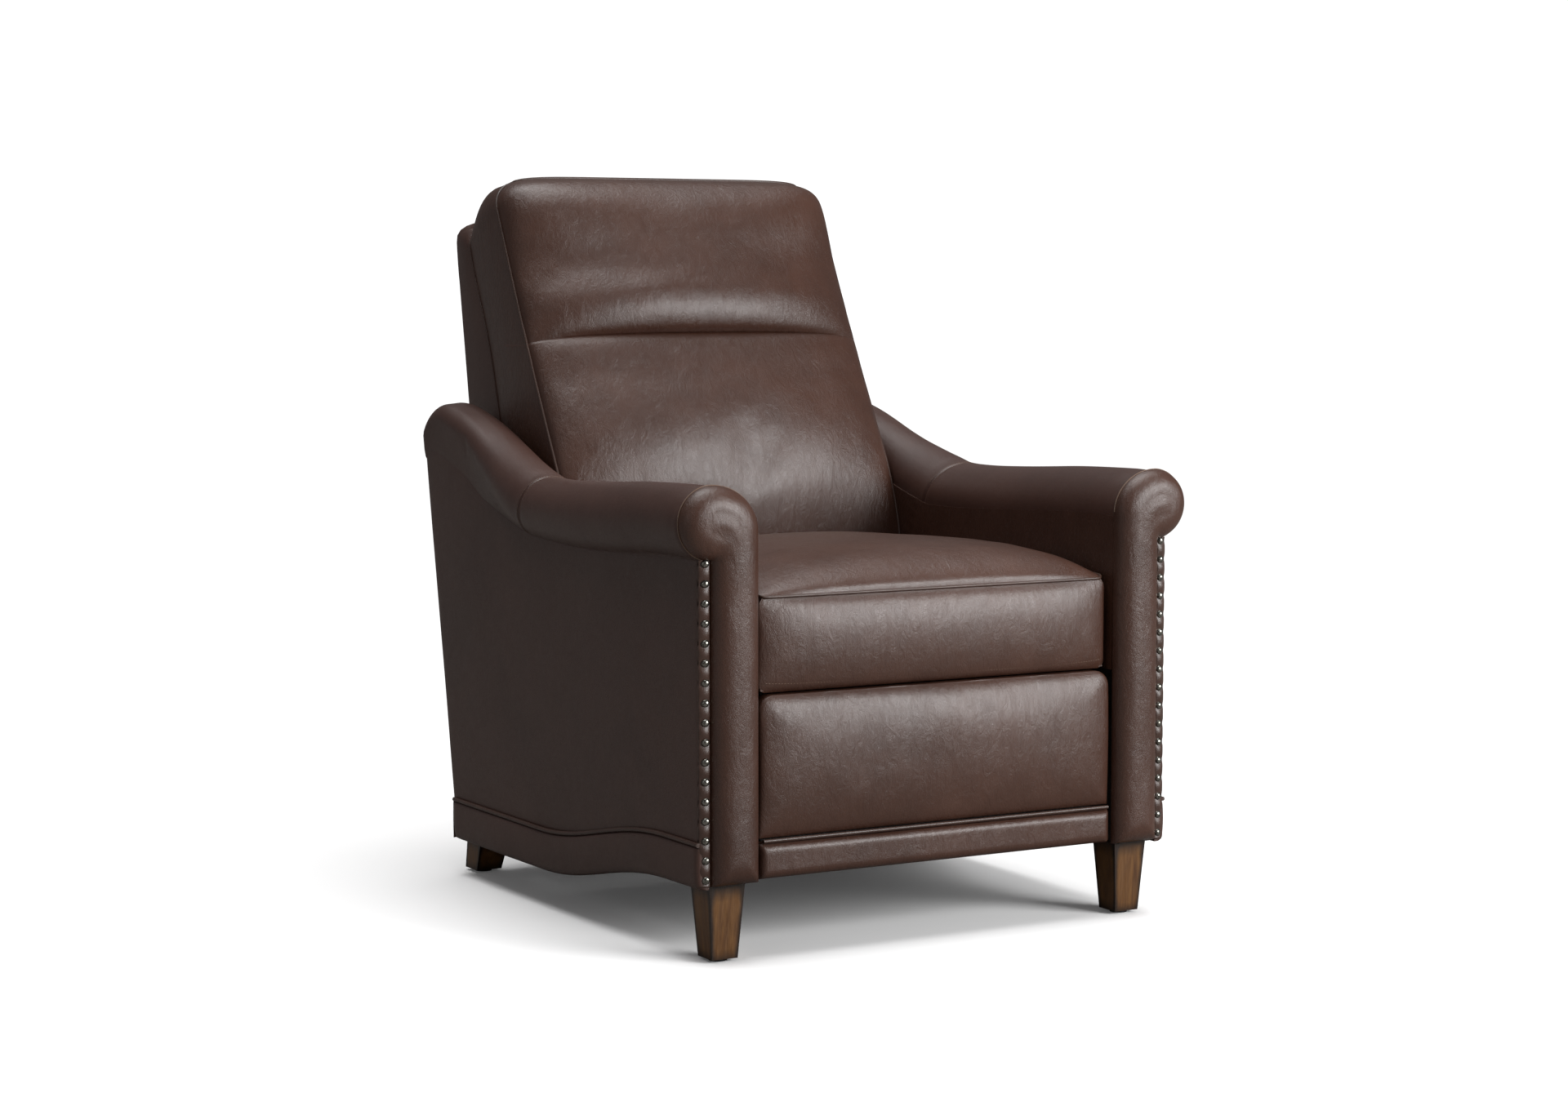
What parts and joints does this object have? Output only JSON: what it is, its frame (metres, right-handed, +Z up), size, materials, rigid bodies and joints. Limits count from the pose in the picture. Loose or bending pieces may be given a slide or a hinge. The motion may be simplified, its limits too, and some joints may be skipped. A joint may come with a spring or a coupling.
{
  "type": "recliner armchair",
  "caption": "High-leg push-back recliner with rolled arms, nailhead-trimmed arm fronts, a pillow back and a folding footrest.",
  "frame": {"origin": "on the floor, at the centre of the chair's outline when it is upright and the footrest is stowed", "axes": "+Z up from the floor, -Y the way the sitter faces, +X to the sitter's left, which is the right side of a front view; the chair is symmetric about X 0"},
  "size_m": [0.79, 0.9782, 1.0318],
  "materials": {
    "dark_leather": "satin",
    "leg_wood": "satin",
    "frame_wood": "matte",
    "antique_nail": "satin",
    "black_steel": "satin",
    "bright_steel": "satin",
    "glide_plastic": "matte",
    "deck_cloth": "matte"
  },
  "bodies": {
    "base": {"leg_front_left": "leg_wood", "leg_front_right": "leg_wood", "leg_rear_left": "leg_wood", "leg_rear_right": "leg_wood", "leg_glides": "glide_plastic", "leg_bolts": "bright_steel", "corner_blocks": "frame_wood", "side_frame_left": "frame_wood", "side_frame_right": "frame_wood", "cross_stretcher": "frame_wood", "rear_rail": "frame_wood", "outside_arm_left": "dark_leather", "outside_arm_right": "dark_leather", "inside_arm_left": "dark_leather", "inside_arm_right": "dark_leather", "arm_roll_left": "dark_leather", "arm_roll_right": "dark_leather", "arm_front_left": "dark_leather", "arm_front_right": "dark_leather", "nail_strip_left": "dark_leather", "nail_strip_right": "dark_leather", "nailheads_left": "antique_nail", "nailheads_right": "antique_nail", "base_band_left": "dark_leather", "base_band_right": "dark_leather", "band_welt_left": "dark_leather", "band_welt_right": "dark_leather", "rear_band": "dark_leather", "mounting_plate_left": "black_steel", "mounting_plate_right": "black_steel", "mounting_screws": "bright_steel"},
    "front_swing": {"front_swing_links": "black_steel"},
    "rear_swing": {"rear_swing_links": "black_steel"},
    "seat": {"seat_rail_left": "black_steel", "seat_rail_right": "black_steel", "seat_frame": "frame_wood", "seat_springs": "bright_steel", "seat_deck": "deck_cloth", "seat_cushion": "dark_leather"},
    "backrest": {"back_shell": "dark_leather", "back_frame": "frame_wood", "back_springs": "bright_steel", "back_bracket_left": "black_steel", "back_bracket_right": "black_steel", "lumbar_cushion": "dark_leather", "head_cushion": "dark_leather"},
    "drive": {"drive_links": "black_steel", "torque_tube": "black_steel"},
    "idler": {"idler_links": "black_steel"},
    "carrier": {"carrier_links": "black_steel"},
    "tilt": {"tilt_links": "black_steel"},
    "footrest": {"footrest_bracket_left": "black_steel", "footrest_bracket_right": "black_steel", "footrest_board": "frame_wood", "footrest_pad": "dark_leather", "footrest_band": "dark_leather", "footrest_welt": "dark_leather"}
  },
  "joints": [
    {"name": "front_swing_pivot", "type": "hinge", "parent": "base", "child": "front_swing", "pos_m": [0, -0.205, 0.18], "axis": [1, 0, 0], "range_deg": [0, 35]},
    {"name": "rear_swing_pivot", "type": "hinge", "parent": "base", "child": "rear_swing", "pos_m": [0, 0.035, 0.18], "axis": [1, 0, 0], "range_deg": [0, 35]},
    {"name": "seat_on_front_swing", "type": "hinge", "parent": "front_swing", "child": "seat", "pos_m": [0, -0.16274, 0.27063], "axis": [-1, 0, 0], "range_deg": [0, 35]},
    {"name": "back_recline", "type": "hinge", "parent": "seat", "child": "backrest", "pos_m": [0, 0.175, 0.318], "axis": [-1, 0, 0], "range_deg": [0, 25]},
    {"name": "footrest_drive", "type": "hinge", "parent": "seat", "child": "drive", "pos_m": [0, -0.315, 0.305], "axis": [-1, 0, 0], "range_deg": [0, 90]},
    {"name": "idler_pivot", "type": "hinge", "parent": "seat", "child": "idler", "pos_m": [0, -0.225, 0.29], "axis": [-1, 0, 0], "range_deg": [0, 90]},
    {"name": "carrier_pivot", "type": "hinge", "parent": "drive", "child": "carrier", "pos_m": [0, -0.21418, 0.09828], "axis": [1, 0, 0], "range_deg": [0, 90]},
    {"name": "tilt_pivot", "type": "hinge", "parent": "drive", "child": "tilt", "pos_m": [0, -0.2339, 0.13872], "axis": [1, 0, 0], "range_deg": [0, 90]},
    {"name": "footrest_pivot", "type": "hinge", "parent": "carrier", "child": "footrest", "pos_m": [0, -0.37, 0.215], "axis": [-1, 0, 0], "range_deg": [0, 90]}
  ],
  "couplings": [
    {"joint": "front_swing_pivot", "follows": "back_recline", "ratio": 1.4},
    {"joint": "rear_swing_pivot", "follows": "back_recline", "ratio": 1.4},
    {"joint": "seat_on_front_swing", "follows": "back_recline", "ratio": 1.4},
    {"joint": "idler_pivot", "follows": "footrest_drive", "ratio": 1},
    {"joint": "carrier_pivot", "follows": "footrest_drive", "ratio": 1},
    {"joint": "tilt_pivot", "follows": "footrest_drive", "ratio": 1},
    {"joint": "footrest_pivot", "follows": "footrest_drive", "ratio": 1}
  ]
}
